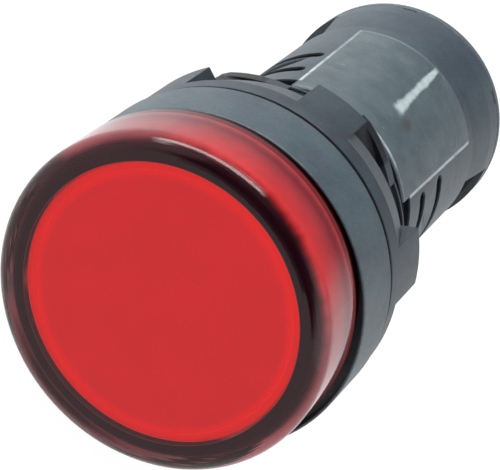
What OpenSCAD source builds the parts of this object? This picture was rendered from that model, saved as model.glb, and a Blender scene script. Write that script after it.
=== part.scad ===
// Panel pilot light: a round red indicator lamp that clamps in a panel hole with a six-lug nut.
// Axes: Y is the lamp's axis, the lens faces -Y and the terminals face +Y; +Z is the printed side; the wires enter at -X and +X.
// Origin: centre of the back face of the bezel, where the panel gasket seats.

/* [Lens cap] */
// Outside radius of the lens cap's skirt
lens_r = 14.38; // [13.8:0.02:14.44]
// Distance from the bezel's back face forward to the flat front of the lens
lens_front = 13.75; // [12.9:0.05:15]
// Radius of the rounded front rim
lens_rim = 1.8; // [1.2:0.1:2.2]
// Wall thickness of the skirt
lens_wall = 1.2; // [0.95:0.05:1.2]
// How far the cap rests sideways in its seat
lens_shift = 0.5; // [0:0.05:0.6]

/* [Bezel and body] */
// Outside radius of the bezel
bezel_r = 14.8; // [14.8:0.02:15.5]
// Height of the bezel in front of the panel
bezel_h = 6.3; // [6.2:0.1:6.7]
// Radius of the shoulder that centres the panel hole
shoulder_r = 11.0; // [10.9:0.05:11.1]
// Length of that shoulder
shoulder_l = 2.6; // [2:0.1:2.7]
// Radius of the ringed body
body_r = 10.65; // [10.5:0.05:10.8]
// Radius of the rear collar
collar_r = 11.08; // [10.9:0.02:11.1]
// Where the rear collar ends and the rear cover starts
body_end = 40.8; // [40.8:0.1:44]
// Inside radius of the body
bore_r = 9.2; // [9:0.05:9.25]
// Depth of the ring grooves
groove_d = 0.7; // [0.4:0.05:0.8]
// Width of the ring grooves
groove_w = 1.4; // [0.8:0.1:1.6]
// Distance between neighbouring ring grooves
groove_pitch = 4.65; // [4:0.05:4.8]

/* [Nut and gasket] */
// Outside radius of the nut
nut_r = 14.62; // [14.4:0.02:14.8]
// Number of finger lugs
lug_count = 6; // [4:1:8]
// Width of one lug in degrees
lug_deg = 20; // [14:0.5:26]
// Turn of the first lug from the printed side in degrees
lug_turn = -9.9; // [-30:0.1:30]
// Inside radius of the nut
nut_bore_r = 11.15; // [11.1:0.05:11.3]
// How far the gasket stands proud of the bezel's back face
gasket_proud = 0.5; // [0.3:0.05:0.7]

/* [Terminals] */
// Distance of each terminal screw from the lamp's axis
term_x = 5.0; // [4.8:0.1:5.1]
// Radius of the terminal screw's head
head_r = 2.5; // [2.3:0.1:2.6]
// Width of the wire entries
entry_w = 8.0; // [7.4:0.1:8.2]
// Length of the wire entries along the body
entry_l = 5.5; // [5.3:0.1:5.6]

/* [Light source] */
// Number of light-emitting diodes in the ring
led_count = 6; // [4:1:8]
// Radius of the ring they stand on
led_ring_r = 6.2; // [5.5:0.1:7.5]

/* [Hidden] */
$fn = 96;
seat_y = -4.7;                       // floor of the bezel's seat for the lens cap
neck_y0 = 10.9;                      // necked length behind the nut
neck_y1 = 14.5;
first_groove = neck_y1 + 5.05;       // middle of the first ring groove
collar_y = 38.4;                     // where the collar reaches its full radius
rear_bore_r = 9.75;                  // wider bore behind the terminal block's ledge
ledge_y = 28.0;
block_top = 33.8;                    // face that carries the terminal strips
strip_t = 1.2;
washer_t = 0.8;
head_t = 2.0;
entry_y = block_top + 0.2; // front edge of the wire entries
board_z = 0.5;                       // half the circuit board's thickness

// points of an arc, from angle a0 to a1
function arc(cx, cy, r, a0, a1, n = 10) = [for (i = [0:n]) let (a = a0 + (a1 - a0) * i / n) [cx + r * cos(a), cy + r * sin(a)]];

// stands a shape drawn along Z on the lamp's axis, pointing to the rear
module ax() rotate([-90, 0, 0]) children();
// turned solid from a profile of [radius, position along the axis]
module lathe(pts) ax() rotate_extrude() polygon(pts);
// cylinder parallel to the lamp's axis
module rod(r, y0, y1, x = 0, z = 0) translate([x, 0, z]) ax() translate([0, 0, y0]) cylinder(r = r, h = y1 - y0);
// block given by its low and high corners
module block(a, b) translate(a) cube(b - a);
// wedge about the lamp's axis, centred on angle c from the printed side, w degrees wide
module wedge(c, w, r, y0, y1) ax() translate([0, 0, y0]) linear_extrude(y1 - y0)
  polygon(concat([[0, 0]], [for (i = [0:6]) let (a = c - 90 - w / 2 + w * i / 6) [r * cos(a), r * sin(a)]]));

// ---- casing -------------------------------------------------------------------------------------------------

module ring_groove(y) {
  // the rings are broken by the printed side and by the side opposite to it
  for (s = [-1, 1]) {
    intersection() {
      lathe([[body_r - groove_d, y - groove_w / 2], [body_r + 2, y - groove_w / 2], [body_r + 2, y + groove_w / 2], [body_r - groove_d, y + groove_w / 2]]);
      wedge(s * 90, 2 * 43.3 - 6, 20, y - 1, y + 1);
    }
    // each end is rounded
    for (e = [-1, 1]) rotate([0, s * 90 + e * 40.3, 0])
      translate([0, y, body_r - groove_d - 0.02]) cylinder(r = groove_w / 2 + 0.03, h = 3, $fn = 32);
  }
}

module housing() color("#2c3034") difference() {
  union() {
    // bezel: a cup for the lens cap, with a flat back against the gasket
    lathe(concat([[0, seat_y], [14.5, seat_y], [14.52, -bezel_h + 0.1], [14.58, -bezel_h], [bezel_r - 0.08, -bezel_h], [bezel_r - 0.02, -bezel_h + 0.1]],
      [[bezel_r, -0.4], [bezel_r - 0.35, 0], [0, 0]]));
    // inner spigot that the lens cap slides over
    lathe([[0, -7.6], [11.95, -7.6], [12.2, -7.3], [12.2, seat_y + 0.5], [0, seat_y + 0.5]]);
    // shoulder, ringed body and collar
    lathe([[0, -1], [shoulder_r, -1], [shoulder_r, shoulder_l], [body_r, shoulder_l + 0.25], [body_r, neck_y0], [10.0, neck_y0 + 0.35],
      [10.0, neck_y1 - 0.1], [body_r - 0.12, neck_y1], [body_r, neck_y1 + 0.15], [body_r, collar_y - 4.2], [collar_r, collar_y], [collar_r, body_end - 0.25],
      [collar_r - 0.25, body_end], [0, body_end]]);
  }
  // bore, stepped for the light source board in front and for the terminal block behind
  rod(bore_r, -20, ledge_y + 1);
  rod(rear_bore_r, ledge_y, body_end + 1);
  rod(10.0, -20, -2.6);
  rod(11.0, -20, -4.4);
  // recess for the gasket
  lathe([[11.75, -0.8], [14.2, -0.8], [14.2, 1], [11.75, 1]]);
  // beside the printed side the ringed part starts further back
  for (s = [-1, 1]) intersection() {
    lathe([[10.0, neck_y1 - 0.4], [body_r + 2, neck_y1 - 0.4], [body_r + 2, neck_y1 + 1.7], [10.0, neck_y1 + 1.7]]);
    wedge(s * 90, 96, 20, neck_y1 - 1, neck_y1 + 3);
  }
  // ring grooves
  for (i = [0:1]) ring_groove(first_groove + i * groove_pitch);
  // wire entries
  for (s = [-1, 1]) block([s > 0 ? 8 : -13, entry_y, -entry_w / 2], [s > 0 ? 13 : -8, entry_y + entry_l, entry_w / 2]);
  // pry notches in the rear edge
  for (c = [-32, 32]) rotate([0, c, 0]) block([-0.7, body_end - 0.5, rear_bore_r + 0.55], [0.7, body_end + 1, 13]);
}

// casing with the rails that guide the circuit board's edges
module housing_with_rails() color("#2c3034") union() {
  housing();
  for (s = [-1, 1], t = [-1, 1]) intersection() {
    block([s > 0 ? 8.15 : -9.8, 1.5, t > 0 ? board_z + 0.05 : -1.45], [s > 0 ? 9.8 : -8.15, 22.5, t > 0 ? 1.45 : -board_z - 0.05]);
    rod(bore_r + 0.3, 0, 27.3);
  }
}

// ---- lens and light source ----------------------------------------------------------------------------------

module lens_cap() color([0.8, 0.05, 0.08, 0.75]) translate([-0.86 * lens_shift, 0, 0.5 * lens_shift]) lathe(concat(
  [[0, -lens_front]],
  arc(lens_r - lens_rim, -lens_front + lens_rim, lens_rim, -90, 0, 12),
  [[lens_r, -bezel_h - 0.4], [lens_r - 0.2, -bezel_h - 0.2], [13.86, -bezel_h - 0.2], [13.86, -4.9], [lens_r - lens_wall, -4.9], [lens_r - lens_wall, 1.95 - lens_front]],
  arc(lens_r - lens_wall - 0.6, 1.95 - lens_front, 0.6, 0, -90, 6),
  [[0, 1.35 - lens_front]]));

module diffuser() color([0.93, 0.2, 0.2]) translate([-0.86 * lens_shift, 1.8 - lens_front, 0.5 * lens_shift]) lathe([[0, 0.15], [11.2, 0.15], [11.3, 0], [11.82, 0], [11.97, 0.15],
  [11.97, lens_front - 9.4], [10.3, lens_front - 9.4], [10.3, lens_front - 8.7], [9.8, lens_front - 8.7], [9.8, 1.25], [9.5, 0.95], [0, 0.95]]);

module led_board() color("#e9ece6") difference() {
  rod(10.9, -5.6, -4.4);
  // two locating notches
  for (s = [-1, 1]) rod(1.0, -7, -3, 0, s * 10.9);
}

module leds() color([0.85, 0.25, 0.25]) for (i = [0:led_count - 1]) rotate([0, i * 360 / led_count, 0]) translate([led_ring_r, 0, 0])
  lathe(concat([[0, -10.3]], arc(0, -8.8, 1.5, -80, 0, 6), [[1.5, -6.6], [1.9, -6.6], [1.9, -5.6], [0, -5.6]]));

module led_leads() color("#c9ccd0") for (s = [-1, 1]) rod(0.35, -4.4, 1.2, s * 3, board_z + 0.35);

// ---- circuit ------------------------------------------------------------------------------------------------

module pin_up(x, y, z0, z1, r = 0.3) translate([x, y, z0]) cylinder(r = r, h = z1 - z0, $fn = 24);

module circuit_board() color("#2f6b3a") difference() {
  block([-8.3, -1.5, -board_z], [8.3, 27.4, board_z]);
  for (y = [4.5, 13.5]) pin_up(0, y, -2, 2, 0.4);
  for (x = [-1.25, 1.25]) pin_up(x, 12.4 - 1.2, -2, 2, 0.4);
  for (y = [15.5, 20.5], s = [-1, 1]) pin_up(s * 5.2, y, -2, 2, 0.4);
}

module film_capacitor() color("#b5392b") {
  difference() {
    block([-5, 3, board_z + 0.2], [5, 15, 6.0]);
    // softened upper edges
    for (s = [-1, 1]) translate([s * 5, 9, 6.0]) rotate([0, 45, 0]) cube([1.0, 20, 1.0], center = true);
  }
  for (y = [4.5, 13.5]) pin_up(0, y, -0.8, board_z + 1);
}

module smoothing_capacitor() color("#23334f") {
  difference() {
    rod(3.15, 2, 10, 0, -4.1);
    // rolled groove near the leads
    translate([0, 0, -4.1]) lathe([[2.85, 8.6], [4, 8.6], [4, 9.0], [2.85, 9.0]]);
  }
  for (x = [-1.25, 1.25]) {
    rod(0.3, 9.5, 11.2, x, -4.1);
    pin_up(x, 11.2, -4.1, 1.1);
    translate([x, 11.2, -4.1]) sphere(r = 0.3, $fn = 24);
  }
}

module bridge_rectifier() color("#1d1f22") {
  block([-2.4, 17.0, board_z + 0.15], [2.4, 20.9, 2.9]);
  for (x = [-1.7, 1.7], s = [-1, 1]) {
    block([x - 0.35, s > 0 ? 20.8 : 16.2, board_z + 0.9], [x + 0.35, s > 0 ? 21.7 : 17.1, board_z + 1.1]);
    block([x - 0.35, s > 0 ? 21.5 : 16.2, board_z], [x + 0.35, s > 0 ? 21.7 : 16.4, board_z + 1.1]);
    block([x - 0.35, s > 0 ? 21.5 : 15.6, board_z], [x + 0.35, s > 0 ? 22.3 : 16.4, board_z + 0.2]);
  }
}

module resistor(y) {
  translate([0, y, -2.3]) rotate([0, 90, 0]) translate([0, 0, -3.4]) rotate_extrude()
    polygon([[0, 0], [1.2, 0], [1.5, 0.3], [1.5, 1.5], [1.3, 1.8], [1.3, 5.0], [1.5, 5.3], [1.5, 6.5], [1.2, 6.8], [0, 6.8]]);
  for (s = [-1, 1]) {
    translate([s > 0 ? 3.3 : -5.2, y, -2.3]) rotate([0, 90, 0]) cylinder(r = 0.3, h = 1.9, $fn = 24);
    pin_up(s * 5.2, y, -2.3, 1.1);
    translate([s * 5.2, y, -2.3]) sphere(r = 0.3, $fn = 24);
  }
}
module resistors() color("#c9b48a") for (y = [15.5, 20.5]) resistor(y);

// ---- terminals ----------------------------------------------------------------------------------------------

module terminal_block() color("#3a3d40") difference() {
  union() {
    rod(9.7, ledge_y, block_top);
    // barrier between the two terminals
    intersection() {
      block([-0.7, block_top - 1, -9], [0.7, body_end - 1.3, 9]);
      rod(8.4, 20, 45);
    }
    // ribs beside each strip
    for (s = [-1, 1], t = [-1, 1]) block([s > 0 ? 2.2 : -7.4, block_top - 1, t > 0 ? 3.7 : -4.7], [s > 0 ? 7.4 : -2.2, block_top + 1.6, t > 0 ? 4.7 : -3.7]);
  }
  for (s = [-1, 1]) {
    // room for the end of the screw
    rod(1.9, ledge_y + 1, block_top + 1, s * term_x);
    // slot for the tail of the strip
    block([s > 0 ? 7.3 : -8.7, ledge_y - 1, board_z - 0.05], [s > 0 ? 8.7 : -7.3, block_top + 1, board_z + 0.7]);
  }
}

module terminal_strip(s) color("#c9a14a") difference() {
  union() {
    block([s > 0 ? 1.7 : -8.6, block_top, -3.3], [s > 0 ? 8.6 : -1.7, block_top + strip_t, 3.3]);
    // tail down to the circuit board
    block([s > 0 ? 7.4 : -8.6, 23.5, board_z], [s > 0 ? 8.6 : -7.4, block_top + 0.5, board_z + 0.6]);
  }
  rod(1.52, block_top - 1, block_top + 3, s * term_x);
  // bevelled outer corners that clear the round body
  for (t = [-1, 1]) translate([s * 8.6, block_top, t * 3.3]) rotate([0, 45, 0]) cube([1.4, 6, 1.4], center = true);
}
module terminal_strip_1() terminal_strip(-1);
module terminal_strip_2() terminal_strip(1);

module clamp_washer(s) color("#c8cbd0") difference() {
  translate([s * term_x, 0, 0]) union() {
    block([-2.9, block_top + strip_t, -2.9], [2.9, block_top + strip_t + washer_t, 2.9]);
  }
  rod(1.7, block_top, block_top + 5, s * term_x);
  // clipped corners
  for (i = [-1, 1], j = [-1, 1]) translate([s * term_x + i * 2.9, block_top + strip_t, j * 2.9]) rotate([0, 45, 0]) cube([1.0, 4, 1.0], center = true);
}
module clamp_washer_1() clamp_washer(-1);
module clamp_washer_2() clamp_washer(1);

module terminal_screw(s) color("#d2d4d8") {
  y0 = block_top + strip_t + washer_t;
  difference() {
    translate([s * term_x, 0, 0]) lathe(concat([[0, 29.6], [1.05, 29.6], [1.45, 30.0], [1.45, y0], [head_r - 0.1, y0], [head_r, y0 + 0.1], [head_r, y0 + 1.2]],
      [for (i = [1:5]) [head_r * cos(i * 14), y0 + 1.2 + 0.8 * sin(i * 18)]], [[0, y0 + head_t]]));
    // crossed slots for the driver
    for (t = [0, 90]) translate([s * term_x, y0 + head_t, 0]) rotate([0, t + 20 * s, 0]) cube([4.0, 1.8, 0.7], center = true);
  }
}
module terminal_screw_1() terminal_screw(-1);
module terminal_screw_2() terminal_screw(1);

module rear_cover() color("#26292c") difference() {
  union() {
    lathe([[0, body_end], [collar_r - 0.12, body_end], [collar_r, body_end + 0.1], [collar_r, body_end + 0.55], [collar_r - 0.1, body_end + 0.9], [collar_r - 0.3, body_end + 1.0], [0, body_end + 1.0]]);
    // spigot that snaps into the body
    rod(9.6, body_end - 1.1, body_end + 0.5);
  }
  rod(8.6, body_end - 2, body_end);
  // driver access over each terminal screw
  for (s = [-1, 1]) rod(3.0, body_end - 2, body_end + 2, s * term_x);
}

// ---- mounting -----------------------------------------------------------------------------------------------

module panel_gasket() color("#17181a") lathe([[12.0, -0.8], [14.05, -0.8], [14.05, 0], [14.55, 0], [14.55, gasket_proud],
  [12.0, gasket_proud]]);

// sector whose radius falls from r0 to r1 over w degrees, from the printed side towards +X
module ramp(r0, r1, w, y0, y1) ax() translate([0, 0, y0]) linear_extrude(y1 - y0)
  polygon(concat([for (i = [0:8]) let (a = -90 - 3 + (w + 3) * i / 8, r = i == 0 ? r0 : r0 + (r1 - r0) * ((w + 3) * i / 8 - 3) / w) [r * cos(a), r * sin(a)]],
    [[11.5 * cos(w - 90), 11.5 * sin(w - 90)], [11.5 * cos(-93), 11.5 * sin(-93)]]));

module mounting_nut() color("#2a2e32") difference() {
  union() {
    // base ring, cone between the lugs, neck and rear rim
    lathe([[0, gasket_proud], [nut_r - 0.06, gasket_proud], [nut_r, gasket_proud + 0.06], [nut_r, 2.3], [nut_r - 1.1, 6.05], [12.1, 6.05], [11.85, 6.3], [11.85, 10.05],
      [12.15, 10.1], [12.15, 10.35], [12.1, 10.4], [0, 10.4]]);
    for (k = [0:lug_count - 1]) intersection() {
      lathe([[0, 1.5], [nut_r, 1.5], [nut_r, 7.2], [nut_r - 1.6, 7.75], [0, 7.75]]);
      wedge(lug_turn + 360 * k / lug_count, lug_deg, 20, 1, 9);
    }
    // behind each lug the neck and the rear rim swell out to a ramp
    for (k = [0:lug_count - 1]) rotate([0, lug_turn + 360 * k / lug_count + lug_deg / 2, 0]) {
      ramp(13.3, 11.8, 16, 5.9, 9.2);
      ramp(13.25, 12.1, 26, 9.1, 10.3);
    }
  }
  rod(nut_bore_r, -2, 12);
  // counterbore that clears the shoulder and the edge of a thin panel
  rod(12.4, -2, 3.2);
}

housing_with_rails();  // housing
lens_cap();
diffuser();
panel_gasket();
mounting_nut();
led_board();
leds();
led_leads();
circuit_board();
film_capacitor();
smoothing_capacitor();
bridge_rectifier();
resistors();
terminal_block();
terminal_strip_1();
terminal_strip_2();
clamp_washer_1();
clamp_washer_2();
terminal_screw_1();
terminal_screw_2();
rear_cover();
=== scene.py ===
import math

import bmesh
import bpy
from mathutils import Matrix, Vector


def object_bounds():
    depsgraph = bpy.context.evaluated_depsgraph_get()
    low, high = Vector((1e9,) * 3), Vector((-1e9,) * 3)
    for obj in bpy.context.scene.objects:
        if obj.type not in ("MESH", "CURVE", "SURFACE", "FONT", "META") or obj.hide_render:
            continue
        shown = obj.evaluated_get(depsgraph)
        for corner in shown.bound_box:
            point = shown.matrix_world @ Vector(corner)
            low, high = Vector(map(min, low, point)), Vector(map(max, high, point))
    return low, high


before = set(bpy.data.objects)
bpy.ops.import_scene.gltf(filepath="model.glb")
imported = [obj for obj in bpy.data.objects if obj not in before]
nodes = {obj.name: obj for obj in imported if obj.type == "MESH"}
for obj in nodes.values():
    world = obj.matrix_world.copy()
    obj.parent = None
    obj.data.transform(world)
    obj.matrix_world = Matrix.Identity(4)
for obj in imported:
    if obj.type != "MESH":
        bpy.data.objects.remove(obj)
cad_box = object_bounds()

scene = bpy.context.scene
MM = 0.001


# ---- camera: the photograph's viewing angle ------------------------------------------------------------------

right = Vector((0.688897, 0.393839, 0.608532)).normalized()
ahead = Vector((-0.029368, 0.853994, -0.519454)).normalized()
above = right.cross(ahead).normalized()
place = Vector((5.5582, -155.9502, 97.9677)) * MM
camera = bpy.data.objects.new("camera", bpy.data.cameras.new("camera"))
scene.collection.objects.link(camera)
camera.matrix_world = Matrix((
    (right.x, above.x, -ahead.x, place.x),
    (right.y, above.y, -ahead.y, place.y),
    (right.z, above.z, -ahead.z, place.z),
    (0, 0, 0, 1)))
camera.data.sensor_width = 36.0
camera.data.lens = 158.4
camera.data.clip_start = 0.005
camera.data.clip_end = 20.0
camera.data.dof.use_dof = False
scene.camera = camera
scene.view_settings.view_transform = "Standard"
scene.view_settings.look = "None"


# ---- node helpers --------------------------------------------------------------------------------------------

class Shade:
    """One procedural material, built node by node. Lengths inside it are millimetres of the piece's own frame."""

    def __init__(self, name):
        self.m = bpy.data.materials.new(name)
        self.m.use_nodes = True
        self.t = self.m.node_tree
        self.t.nodes.clear()
        self.out = self.t.nodes.new("ShaderNodeOutputMaterial")
        self.b = self.t.nodes.new("ShaderNodeBsdfPrincipled")
        self.t.links.new(self.b.outputs[0], self.out.inputs["Surface"])
        coord = self.t.nodes.new("ShaderNodeTexCoord")
        self.p = self.vec("SCALE", coord.outputs["Object"], s=1000.0)
        self._xyz = None

    def put(self, socket, value):
        if isinstance(value, bpy.types.NodeSocket):
            self.t.links.new(value, socket)
        else:
            if isinstance(value, (tuple, list)) and len(value) == 3 and socket.type == "RGBA":
                value = (*value, 1.0)
            socket.default_value = value

    def vec(self, op, a, b=None, s=None):
        n = self.t.nodes.new("ShaderNodeVectorMath")
        n.operation = op
        self.put(n.inputs[0], a)
        if b is not None:
            self.put(n.inputs[1], b)
        if s is not None:
            self.put(n.inputs["Scale"], s)
        return n.outputs["Value"] if op in ("LENGTH", "DOT_PRODUCT", "DISTANCE") else n.outputs["Vector"]

    def math(self, op, a, b=0.0, c=0.0, clamp=False):
        n = self.t.nodes.new("ShaderNodeMath")
        n.operation = op
        n.use_clamp = clamp
        self.put(n.inputs[0], a)
        self.put(n.inputs[1], b)
        self.put(n.inputs[2], c)
        return n.outputs[0]

    def add(self, a, b): return self.math("ADD", a, b)
    def sub(self, a, b): return self.math("SUBTRACT", a, b)
    def mul(self, a, b): return self.math("MULTIPLY", a, b)
    def big(self, a, b): return self.math("MAXIMUM", a, b)
    def small(self, a, b): return self.math("MINIMUM", a, b)

    def xyz(self):
        if self._xyz is None:
            n = self.t.nodes.new("ShaderNodeSeparateXYZ")
            self.put(n.inputs[0], self.p)
            self._xyz = tuple(n.outputs)
        return self._xyz

    def radius(self, cx=0.0, cz=0.0):
        x, _, z = self.xyz()
        dx, dz = self.sub(x, cx), self.sub(z, cz)
        return self.math("SQRT", self.add(self.mul(dx, dx), self.mul(dz, dz)))

    def angle(self, cx=0.0, cz=0.0):
        """degrees from +Z towards +X"""
        x, _, z = self.xyz()
        return self.mul(self.math("ARCTAN2", self.sub(x, cx), self.sub(z, cz)), 57.29578)

    def step(self, v, lo, hi):
        """0 below lo, 1 above hi, smooth between (or the other way round when lo > hi)"""
        n = self.t.nodes.new("ShaderNodeMapRange")
        n.interpolation_type = "SMOOTHSTEP"
        self.put(n.inputs["Value"], v)
        self.put(n.inputs["From Min"], min(lo, hi))
        self.put(n.inputs["From Max"], max(lo, hi))
        self.put(n.inputs["To Min"], 0.0 if lo < hi else 1.0)
        self.put(n.inputs["To Max"], 1.0 if lo < hi else 0.0)
        return n.outputs["Result"]

    def band(self, v, a, b, soft):
        """1 between a and b with soft edges"""
        return self.mul(self.step(v, a - soft, a + soft), self.step(v, b + soft, b - soft))

    def noise(self, scale, detail=3.0, rough=0.55, vec=None, distort=0.0, colour=False):
        n = self.t.nodes.new("ShaderNodeTexNoise")
        self.put(n.inputs["Vector"], self.p if vec is None else vec)
        n.inputs["Scale"].default_value = scale
        n.inputs["Detail"].default_value = detail
        n.inputs["Roughness"].default_value = rough
        n.inputs["Distortion"].default_value = distort
        return n.outputs["Color" if colour else "Fac"]

    def cells(self, scale, vec=None, out="Distance", random=1.0):
        n = self.t.nodes.new("ShaderNodeTexVoronoi")
        self.put(n.inputs["Vector"], self.p if vec is None else vec)
        n.inputs["Scale"].default_value = scale
        n.inputs["Randomness"].default_value = random
        return n.outputs[out]

    def ramp(self, fac, stops, kind="LINEAR"):
        n = self.t.nodes.new("ShaderNodeValToRGB")
        n.color_ramp.interpolation = kind
        self.put(n.inputs[0], fac)
        e = n.color_ramp.elements
        while len(e) > 1:
            e.remove(e[-1])
        e[0].position, e[0].color = stops[0][0], (*stops[0][1], 1.0)
        for pos, col in stops[1:]:
            k = e.new(pos)
            k.color = (*col, 1.0)
        return n.outputs[0]

    def mix(self, fac, a, b, kind="MIX"):
        n = self.t.nodes.new("ShaderNodeMix")
        n.data_type = "RGBA"
        n.blend_type = kind
        self.put(n.inputs[0], fac)
        self.put(n.inputs[6], a)
        self.put(n.inputs[7], b)
        return n.outputs[2]

    def lerp(self, fac, a, b):
        n = self.t.nodes.new("ShaderNodeMix")
        n.data_type = "FLOAT"
        self.put(n.inputs[0], fac)
        self.put(n.inputs[2], a)
        self.put(n.inputs[3], b)
        return n.outputs[0]

    def stretch(self, x, y, z, move=(0, 0, 0)):
        n = self.t.nodes.new("ShaderNodeMapping")
        self.put(n.inputs["Vector"], self.p)
        n.inputs["Location"].default_value = move
        n.inputs["Scale"].default_value = (x, y, z)
        return n.outputs[0]

    def bump(self, height, distance, strength=1.0, soft=None):
        """distance is in millimetres; soft rounds the hard edges of the shading by that many millimetres"""
        n = self.t.nodes.new("ShaderNodeBump")
        n.inputs["Strength"].default_value = strength
        n.inputs["Distance"].default_value = distance * MM
        self.put(n.inputs["Height"], height)
        if soft:
            e = self.t.nodes.new("ShaderNodeBevel")
            e.samples = 4
            e.inputs["Radius"].default_value = soft * MM
            self.put(n.inputs["Normal"], e.outputs[0])
        self.put(self.b.inputs["Normal"], n.outputs[0])
        return n.outputs[0]

    def set(self, **kw):
        for k, v in kw.items():
            self.put(self.b.inputs[k.replace("_", " ")], v)
        return self

    def edges(self, width=0.15):
        """1 on sharp outer edges"""
        n = self.t.nodes.new("ShaderNodeNewGeometry")
        return self.step(n.outputs["Pointiness"], 0.53, 0.60)

    def use(self, *names):
        for name in names:
            o = nodes[name] if isinstance(name, str) else name
            o.data.materials.clear()
            o.data.materials.append(self.m)
        return self


# ---- black mouldings -----------------------------------------------------------------------------------------

def plastic(name, base, warm, rough=0.47, soft=0.12, grain=1.0):
    """matt black moulding: cloudy tone, fine speckle from the mould's texture, paler rubbed patches"""
    s = Shade(name)
    cloud = s.noise(0.16, 4.0, 0.6)
    speck = s.noise(5.5, 3.0, 0.7)
    col = s.mix(s.step(cloud, 0.35, 0.68), base, warm)
    patch = s.noise(0.75, 3.0, 0.6, vec=s.stretch(1.0, 1.0, 1.0, (7.0, 3.0, 5.0)))
    col = s.mix(s.step(patch, 0.36, 0.50), s.mix(1.0, col, (0.86, 0.99, 0.97), "MULTIPLY"), col)
    col = s.mix(s.step(patch, 0.52, 0.66), col, s.mix(1.0, col, (1.12, 1.00, 1.06), "MULTIPLY"))
    col = s.mix(s.step(speck, 0.38, 0.66), s.mix(1.0, col, (0.80, 0.80, 0.82), "MULTIPLY"), s.mix(1.0, col, (1.14, 1.14, 1.14), "MULTIPLY"))
    r = s.add(rough - 0.05, s.mul(s.noise(1.1, 4.0, 0.6), 0.14))
    s.set(Base_Color=col, Roughness=r, Specular_IOR_Level=0.5)
    s.tone = col
    s.rough = r
    s.fine = s.add(s.mul(s.noise(9.0, 2.0, 0.6), 0.6), s.mul(s.noise(2.2, 3.0, 0.6), 0.4))
    s.bump(s.fine, 0.03 * grain, 0.5, soft)
    return s


# casing: painted shade darkens the neck and the rings, and the printed side carries a pale frame line, a smear and a
# stain
s = plastic("casing_black", (0.050, 0.067, 0.083), (0.068, 0.095, 0.109))
x, y, z = s.xyz()
r = s.radius()
a = s.angle()
# painted shade: the neck and the ring grooves behind the bezel (radius under 10.5 mm) are painted near black
recess_shade = s.small(s.step(r, 10.50, 10.46), s.step(y, 9.5, 10.5))
wob = s.mul(s.sub(s.noise(0.55, 3.0, 0.6), 0.5), 0.5)          # degrees and millimetres of raggedness
fade = s.step(s.noise(0.9, 3.0, 0.7), 0.34, 0.56)
outside = s.step(r, 10.4, 10.6)
on_face = s.mul(outside, s.step(z, 3.0, 5.0))
along_print = s.sub(y, 16.2)                                      # the print opens a little towards the rear
left_a = s.add(s.add(a, s.mul(along_print, 0.14)), 41.2)
right_a = s.sub(s.sub(a, s.mul(along_print, 0.082)), 42.2)
arc_in = s.mul(s.step(left_a, -0.2, 0.2), s.step(right_a, 0.2, -0.2))
len_in = s.band(y, 16.2, 32.9, 0.15)
left_line = s.mul(s.band(s.add(left_a, wob), -0.75, 0.75, 0.45), len_in)
right_line = s.mul(s.band(s.add(right_a, wob), -0.75, 0.75, 0.45), len_in)
front_line = s.mul(s.mul(s.band(s.add(y, s.mul(wob, 0.5)), 14.66, 14.98, 0.10), arc_in), s.lerp(s.band(a, -3.0, 24.0, 3.0), 0.16, 0.8))
rear_line = s.mul(s.mul(s.band(s.add(y, wob), 32.55, 32.85, 0.14), arc_in), s.lerp(s.step(a, 4.0, -20.0), 0.03, 0.22))
side = s.big(s.mul(left_line, s.lerp(s.step(y, 17.0, 30.0), 0.95, 0.45)), s.mul(right_line, 0.9))
lines = s.mul(s.big(side, s.big(front_line, rear_line)), s.lerp(fade, 0.55, 1.0))
film = s.mul(s.mul(arc_in, s.band(y, 14.7, 32.9, 0.15)), s.lerp(s.step(s.noise(0.42, 5.0, 0.60), 0.30, 0.70), 0.20, 0.56))                        # thin haze left by the print's varnish
smear_c = s.sub(4.4, s.mul(s.sub(y, 20.6), 0.20))
smear_w = s.add(s.lerp(s.step(y, 23.8, 21.6), 2.0, 3.1), s.lerp(s.step(y, 28.5, 32.0), 0.0, -0.5))
ragged = s.mul(s.sub(s.noise(0.70, 5.0, 0.60), 0.5), 1.3)
smear = s.mul(s.step(s.add(s.math("DIVIDE", s.math("ABSOLUTE", s.sub(a, smear_c)), smear_w), ragged), 1.45, 0.45),
              s.band(s.add(y, s.mul(ragged, 0.8)), 20.9, 32.6, 0.6))
smear = s.mul(smear, s.lerp(s.step(s.noise(1.1, 5.0, 0.75, vec=s.stretch(1.0, 1.0, 1.0, (3.0, 9.0, 1.0))), 0.32, 0.62), 0.60, 0.82))
flecks = s.mul(s.mul(s.step(s.noise(2.4, 4.0, 0.75), 0.60, 0.70), s.mul(arc_in, len_in)), s.step(s.noise(0.32, 2.0, 0.5), 0.44, 0.60))
stain = s.mul(s.step(s.math("SQRT", s.add(s.math("POWER", s.mul(s.sub(a, 12.4), 0.24), 2.0), s.math("POWER", s.mul(s.sub(y, 20.5), 0.85), 2.0))), 1.35, 0.35), 0.75)
col = s.mix(s.step(y, 8.0, 12.0), s.tone, s.mix(1.0, s.tone, (0.80, 0.80, 0.82), "MULTIPLY"))     # the body behind the bezel is a fifth darker than the bezel
col = s.mix(recess_shade, col, (0.0015, 0.0022, 0.0045))
col = s.mix(s.mul(film, on_face), col, (0.104, 0.140, 0.146))
col = s.mix(s.mul(stain, on_face), col, (0.050, 0.053, 0.046))
col = s.mix(s.mul(s.mul(flecks, 0.5), on_face), col, (0.26, 0.31, 0.32))
col = s.mix(s.mul(lines, on_face), col, (0.42, 0.47, 0.48))
col = s.mix(s.mul(smear, on_face), col, (0.46, 0.53, 0.54))
s.set(Base_Color=col, Roughness=s.lerp(s.mul(film, on_face), s.rough, 0.38))
s.use("housing")

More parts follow.
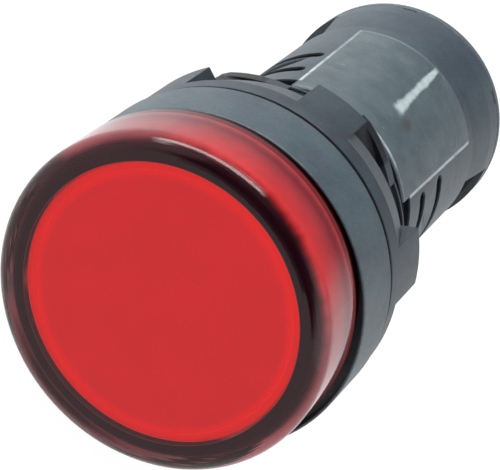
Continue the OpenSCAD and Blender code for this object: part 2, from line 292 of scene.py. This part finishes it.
s = plastic("nut_black", (0.028, 0.037, 0.048), (0.040, 0.054, 0.066))
r = s.radius()
x, y, z = s.xyz()
# painted shade: the well inside the nut's rear rim is painted near black
well_shade = s.mul(s.step(r, 12.02, 11.95), s.band(y, 6.0, 10.12, 0.03))
beside = s.sub(s.math("PINGPONG", s.add(s.angle(), 309.9 - 12.0), 30.0), 0.0)      # 0 just past each lug's middle, 30 between lugs
# painted shade: the recess beside each lug is painted near black
lug_shade = s.mul(s.mul(s.step(beside, 15.5, 14.0), s.step(r, 13.46, 13.42)), s.band(y, 5.72, 10.12, 0.03))
s.set(Base_Color=s.mix(s.mul(s.big(well_shade, lug_shade), 0.94), s.tone, (0.0015, 0.0022, 0.0045)))
s.use("mounting_nut")

s = plastic("cover_black", (0.072, 0.092, 0.108), (0.092, 0.118, 0.134), rough=0.5)
s.use("rear_cover")

s = plastic("block_black", (0.030, 0.033, 0.036), (0.045, 0.048, 0.050), rough=0.5, soft=0.08)
s.use("terminal_block")

s = Shade("gasket_rubber")
s.set(Base_Color=s.mix(s.step(s.noise(1.6, 4.0, 0.6), 0.35, 0.7), (0.002, 0.0022, 0.003), (0.005, 0.0055, 0.007)), Roughness=s.add(0.66, s.mul(s.noise(3.0), 0.2)), Specular_IOR_Level=0.15)
s.bump(s.noise(6.0, 3.0, 0.6), 0.04, 0.5, 0.1)
s.use("panel_gasket")


# ---- lens and light source -----------------------------------------------------------------------------------

CAP = (-0.43, 0.25)       # the cap's and the diffuser's own centre, x and z in millimetres

# lens cap: polished and clear outside; the inner faces carry the tone, dark plum round the front corner as painted
# shade of the dark inside, frosted pink-red down the skirt, a grey band and a pale band at its rear edge, and a painted
# glow
s = Shade("lens_red")
x, y, z = s.xyz()
r = s.radius(*CAP)
a = s.angle(*CAP)
haze = s.noise(0.5, 4.0, 0.6)
streaks = s.noise(1.0, 3.0, 0.6, vec=s.stretch(1.0, 0.25, 1.0))
inside = s.mul(s.step(r, 13.32, 13.26), s.step(y, -12.52, -12.46))
corner = s.mul(inside, s.step(r, 11.98, 12.06))                  # past the edge of the lit disc: painted shade at the front corner and a painted glow down the skirt
rear = s.mul(s.step(y, -6.58, -6.50), s.step(r, 13.1, 13.15))      # the part that sits in the bezel, painted dark as shade
yy = s.add(y, s.mul(s.sub(streaks, 0.5), 0.5))
# painted shade: the plum corner reaches further back on the side away from the printed face
reach_shade = s.step(s.math("COSINE", s.math("DIVIDE", s.sub(a, 15.0), 57.29578)), 0.05, -0.55)
reach_shade = s.mul(reach_shade, s.lerp(s.band(a, -143.0, -127.0, 8.0), 4.4, 1.2))
depth = s.math("DIVIDE", s.sub(s.add(yy, 12.9), reach_shade), 8.0)
wall = s.ramp(depth, [
    (0.00, (0.005, 0.0015, 0.0070)), (0.115, (0.006, 0.0015, 0.0070)), (0.160, (0.16, 0.014, 0.018)), (0.200, (0.42, 0.066, 0.070)),
    (0.235, (0.54, 0.118, 0.122)), (0.32, (0.47, 0.120, 0.128)), (0.41, (0.43, 0.122, 0.136)), (0.50, (0.36, 0.124, 0.140)),
    (0.60, (0.27, 0.108, 0.124)), (0.66, (0.19, 0.086, 0.102)), (0.715, (0.20, 0.088, 0.104)), (0.79, (0.44, 0.160, 0.168)), (1.00, (0.40, 0.13, 0.14))])
# frosted wall: a painted sheen makes it paler and greyer where it turns away to either side
pale = s.ramp(depth, [
    (0.00, (0.011, 0.0026, 0.0075)), (0.110, (0.013, 0.0030, 0.0080)), (0.160, (0.07, 0.035, 0.040)), (0.22, (0.20, 0.110, 0.122)),
    (0.32, (0.30, 0.190, 0.210)), (0.45, (0.30, 0.200, 0.220)), (0.56, (0.23, 0.185, 0.200)), (0.65, (0.17, 0.145, 0.160)), (0.715, (0.18, 0.150, 0.165)), (0.79, (0.34, 0.200, 0.210)), (1.00, (0.26, 0.12, 0.13))])
turned = s.math("COSINE", s.math("DIVIDE", s.sub(a, 3.0), 57.29578))
wall = s.mix(s.step(turned, 0.94, 0.60), wall, pale)
wall = s.mix(s.step(haze, 0.35, 0.7), wall, s.mix(1.0, wall, (0.90, 0.92, 0.92), "MULTIPLY"))
solid = s.big(corner, rear)
col = s.mix(corner, (1.0, 0.24, 0.26), wall)
col = s.mix(rear, col, (0.085, 0.004, 0.007))
# painted glow: the opaque inner faces emit their own tone at 0.42 though the lamp is unlit
s.set(Base_Color=col, Transmission_Weight=s.sub(1.0, solid), IOR=1.36,
      Roughness=s.lerp(solid, s.add(0.010, s.mul(haze, 0.016)), 0.5), Specular_IOR_Level=0.22,
      Emission_Color=s.mix(corner, (0.0, 0.0, 0.0), wall), Emission_Strength=0.42)
s.use("lens_cap")

s = Shade("diffuser_red")
x, y, z = s.xyz()
r = s.radius(*CAP)
margin = s.step(r, 10.5, 11.1)
col = s.mix(margin, (0.68, 0.012, 0.034), (0.84, 0.003, 0.008))
col = s.mix(s.step(s.noise(0.28, 3.0, 0.5), 0.3, 0.7), s.mix(1.0, col, (0.95, 0.9, 0.9), "MULTIPLY"), col)
# painted glow: the unlit diffuser emits a redder copy of its own colour at 0.34
s.set(Base_Color=col, Roughness=s.add(0.42, s.mul(s.noise(1.2), 0.1)), Specular_IOR_Level=0.2,
      Emission_Color=s.mix(1.0, col, (1.0, 0.4, 1.2), "MULTIPLY"), Emission_Strength=0.34)
s.use("diffuser")

s = Shade("led_board_white")
s.set(Base_Color=s.mix(s.step(s.noise(0.6, 3.0), 0.4, 0.7), (0.74, 0.75, 0.71), (0.80, 0.81, 0.78)), Roughness=s.add(0.32, s.mul(s.noise(2.0), 0.15)))
s.bump(s.noise(4.0), 0.02, 0.4, 0.05)
s.use("led_board")

s = Shade("led_red")
s.set(Base_Color=s.mix(s.step(s.xyz()[1], -7.2, -6.4), (0.85, 0.10, 0.11), (0.75, 0.05, 0.06)), Transmission_Weight=0.35, IOR=1.5, Roughness=s.add(0.10, s.mul(s.noise(1.5), 0.08)))
s.bump(s.noise(2.0), 0.01, 0.3)
s.use("leds")

s = Shade("tinned_wire")
s.set(Base_Color=s.mix(s.step(s.noise(2.0, 4.0), 0.4, 0.65), (0.52, 0.52, 0.50), (0.74, 0.74, 0.73)), Metallic=1.0, Roughness=s.add(0.28, s.mul(s.noise(3.0), 0.2)))
s.bump(s.noise(5.0), 0.02, 0.4)
s.use("led_leads")


# ---- circuit -------------------------------------------------------------------------------------------------

s = Shade("board_green")
x, y, z = s.xyz()
track = s.big(s.band(s.math("PINGPONG", s.add(x, 0.3), 2.1), 0.0, 0.28, 0.05), s.band(s.math("PINGPONG", y, 3.4), 0.0, 0.24, 0.05))
keep = s.step(s.noise(0.25, 2.0), 0.44, 0.50)
edge = s.big(s.step(s.math("ABSOLUTE", x), 8.0, 8.15), s.step(s.math("ABSOLUTE", s.sub(y, 13.0)), 14.2, 14.35))
col = s.mix(s.mul(track, keep), (0.010, 0.090, 0.035), (0.020, 0.170, 0.060))
col = s.mix(edge, col, (0.30, 0.26, 0.14))
s.set(Base_Color=s.mix(s.step(s.noise(1.2, 4.0), 0.4, 0.7), col, s.mix(1.0, col, (1.2, 1.2, 1.2), "MULTIPLY")), Roughness=s.add(0.28, s.mul(s.noise(2.0), 0.15)))
s.bump(s.mul(track, keep), 0.04, 0.6, 0.04)
s.use("circuit_board")

s = Shade("capacitor_red")
x, y, z = s.xyz()
leg = s.step(z, 0.8, 0.6)
s.set(Base_Color=s.mix(leg, s.mix(s.step(s.noise(0.5, 4.0), 0.35, 0.7), (0.30, 0.035, 0.022), (0.42, 0.058, 0.035)), (0.62, 0.62, 0.60)), Metallic=leg, Roughness=s.add(0.22, s.mul(s.noise(1.4), 0.18)))
s.bump(s.noise(0.8, 3.0), 0.10, 0.5, 0.15)
s.use("film_capacitor")

s = Shade("capacitor_sleeve")
x, y, z = s.xyz()
leg = s.step(y, 10.03, 10.08)
top = s.step(s.radius(0.0, -4.1), 2.9, 2.7)
can = s.mul(s.step(y, 2.1, 2.03), top)
stripe = s.mul(s.band(s.angle(0.0, -4.1), 60.0, 95.0, 2.0), s.step(leg, 0.5, 0.4))
col = s.mix(s.step(s.noise(0.7, 3.0), 0.4, 0.7), (0.018, 0.030, 0.070), (0.030, 0.046, 0.100))
col = s.mix(s.mul(stripe, 0.8), col, (0.34, 0.36, 0.38))
col = s.mix(s.big(leg, can), col, (0.60, 0.61, 0.62))
s.set(Base_Color=col, Metallic=s.big(leg, can), Roughness=s.add(0.25, s.mul(s.noise(2.0), 0.2)))
s.bump(s.noise(2.0), 0.03, 0.4, 0.06)
s.use("smoothing_capacitor")

s = Shade("component_black")
x, y, z = s.xyz()
lead = s.step(s.math("ABSOLUTE", s.sub(y, 18.95)), 1.97, 2.0)
col = s.mix(s.step(s.noise(2.5, 4.0), 0.4, 0.7), (0.010, 0.010, 0.011), (0.022, 0.022, 0.023))
s.set(Base_Color=s.mix(lead, col, (0.66, 0.66, 0.65)), Metallic=lead, Roughness=s.lerp(lead, 0.5, 0.28))
s.bump(s.noise(6.0), 0.03, 0.5, 0.05)
s.use("bridge_rectifier")

s = Shade("resistor_tan")
x, y, z = s.xyz()
ax = s.math("ABSOLUTE", x)
wire = s.big(s.step(ax, 3.42, 3.48), s.step(z, -0.7, -0.6))
b1 = s.band(x, -2.7, -2.2, 0.04)
b2 = s.band(x, -1.3, -0.8, 0.04)
b3 = s.band(x, 0.0, 0.5, 0.04)
b4 = s.band(x, 1.9, 2.4, 0.04)
col = s.mix(s.step(s.noise(1.5, 3.0), 0.4, 0.7), (0.50, 0.38, 0.20), (0.58, 0.46, 0.26))
col = s.mix(b1, col, (0.30, 0.10, 0.02))
col = s.mix(b2, col, (0.02, 0.02, 0.02))
col = s.mix(b3, col, (0.62, 0.42, 0.02))
col = s.mix(b4, col, (0.55, 0.42, 0.12))
s.set(Base_Color=s.mix(wire, col, (0.66, 0.66, 0.64)), Metallic=wire, Roughness=s.lerp(wire, 0.34, 0.26))
s.bump(s.noise(2.0), 0.04, 0.4, 0.06)
s.use("resistors")


# ---- terminals -----------------------------------------------------------------------------------------------

s = Shade("brass")
grain = s.noise(1.0, 4.0, 0.6, vec=s.stretch(0.6, 6.0, 6.0))
dull = s.step(s.noise(0.5, 4.0, 0.6), 0.4, 0.72)
s.set(Base_Color=s.mix(dull, (0.80, 0.60, 0.27), (0.58, 0.42, 0.19)), Metallic=1.0, Roughness=s.add(0.22, s.add(s.mul(grain, 0.12), s.mul(dull, 0.14))))
s.bump(grain, 0.02, 0.4, 0.08)
s.use("terminal_strip_1", "terminal_strip_2")

s = Shade("zinc_steel")
dull = s.step(s.noise(0.8, 4.0, 0.6), 0.42, 0.72)
fine = s.noise(7.0, 3.0, 0.6)
s.set(Base_Color=s.mix(dull, (0.74, 0.75, 0.77), (0.56, 0.58, 0.60)), Metallic=1.0, Roughness=s.add(0.20, s.add(s.mul(fine, 0.10), s.mul(dull, 0.14))))
s.bump(fine, 0.02, 0.4, 0.08)
s.use("clamp_washer_1", "clamp_washer_2", "terminal_screw_1", "terminal_screw_2")


# ---- floor and light -----------------------------------------------------------------------------------------

low = cad_box[0].z if hasattr(cad_box[0], "z") else cad_box[0][2]
mesh = bpy.data.meshes.new("floor")
bm = bmesh.new()
bmesh.ops.create_grid(bm, x_segments=8, y_segments=8, size=6.0)
bm.to_mesh(mesh)
bm.free()
floor = bpy.data.objects.new("floor", mesh)
scene.collection.objects.link(floor)
floor.location = (0, 0, low - 0.00005)
m = bpy.data.materials.new("floor_white")
m.use_nodes = True
b = m.node_tree.nodes["Principled BSDF"]
b.inputs["Base Color"].default_value = (0.06, 0.06, 0.06, 1)
b.inputs["Roughness"].default_value = 1.0
b.inputs["Specular IOR Level"].default_value = 0.0
b.inputs["Emission Color"].default_value = (1, 1, 1, 1)
b.inputs["Emission Strength"].default_value = 0.98
mesh.materials.append(m)

world = bpy.data.worlds.new("studio")
scene.world = world
world.use_nodes = True
wt = world.node_tree
sky = wt.nodes["Background"]


def wnode(kind, **kw):
    n = wt.nodes.new(kind)
    for k, v in kw.items():
        setattr(n, k, v)
    return n


def along(axis):
    n = wnode("ShaderNodeVectorMath", operation="DOT_PRODUCT")
    wt.links.new(spot.outputs["Generated"], n.inputs[0])
    n.inputs[1].default_value = axis
    return n.outputs["Value"]


def rise(v, lo, hi, a=0.0, b=1.0):
    n = wnode("ShaderNodeMapRange", interpolation_type="SMOOTHSTEP")
    wt.links.new(v, n.inputs["Value"])
    n.inputs["From Min"].default_value = lo
    n.inputs["From Max"].default_value = hi
    n.inputs["To Min"].default_value = a
    n.inputs["To Max"].default_value = b
    return n.outputs["Result"]


def calc(op, a, b=None):
    n = wnode("ShaderNodeMath", operation=op)
    for k, v in enumerate((a, b)):
        if isinstance(v, bpy.types.NodeSocket):
            wt.links.new(v, n.inputs[k])
        elif v is not None:
            n.inputs[k].default_value = v
    return n.outputs[0]


# white walls at both sides, softer light from above and behind, and the dark opening the picture is taken through
spot = wnode("ShaderNodeTexCoord")
tent = calc("MAXIMUM", rise(along((1, 0, 0)), -0.85, 0.05, 0.95, 0.24), rise(along((1, 0, 0)), 0.35, 0.95, 0.24, 1.9))
fore = rise(along((0.029, -0.854, 0.519)), 0.15, 0.4)
tall = along((0, 0.519, 0.854))
wide = along((1, 0, 0))
gap = calc("MULTIPLY", calc("MULTIPLY", fore, calc("MULTIPLY", rise(tall, -0.46, -0.34), rise(tall, 0.30, 0.42, 1.0, 0.0))),
           calc("MULTIPLY", rise(wide, -0.62, -0.45), rise(wide, 0.62, 0.8, 1.0, 0.0)))
# a bright strip arching over the lamp from the left, mirrored as the thin arc on the rim
arch = calc("MULTIPLY", calc("MULTIPLY", rise(along((0, 1, 0)), -0.28, -0.20), rise(along((0, 1, 0)), 0.02, 0.18, 1.0, 0.0)),
            calc("MULTIPLY", rise(along((0, 0, 1)), 0.36, 0.50), rise(wide, -0.14, -0.03, 1.0, 0.0)))
corner = calc("MULTIPLY", calc("MULTIPLY", rise(along((0, 1, 0)), 0.30, 0.75), rise(along((0, 0, 1)), -0.04, 0.36)),
              calc("MULTIPLY", rise(wide, -0.36, 0.08), rise(wide, 0.62, 0.80, 1.0, 0.0)))
tent = calc("MULTIPLY", tent, calc("SUBTRACT", 1.0, calc("MULTIPLY", corner, 0.95)))
low_sky = calc("MULTIPLY", rise(along((0, 1, 0)), 0.10, 0.45), rise(along((0, 0, 1)), 0.0, 0.34, 1.0, 0.0))
tent = calc("ADD", calc("MULTIPLY", tent, calc("SUBTRACT", 1.0, low_sky)), calc("MULTIPLY", low_sky, 0.98))
tent = calc("ADD", tent, calc("MULTIPLY", arch, 12.0))
glow = calc("MULTIPLY", tent, calc("SUBTRACT", 1.0, calc("MULTIPLY", gap, 0.94)))
sky.inputs[0].default_value = (0.97, 0.985, 1.0, 1)
wt.links.new(glow, sky.inputs[1])


# ---- update the view layer -----------------------------------------------------------------------------------

bpy.context.view_layer.update()
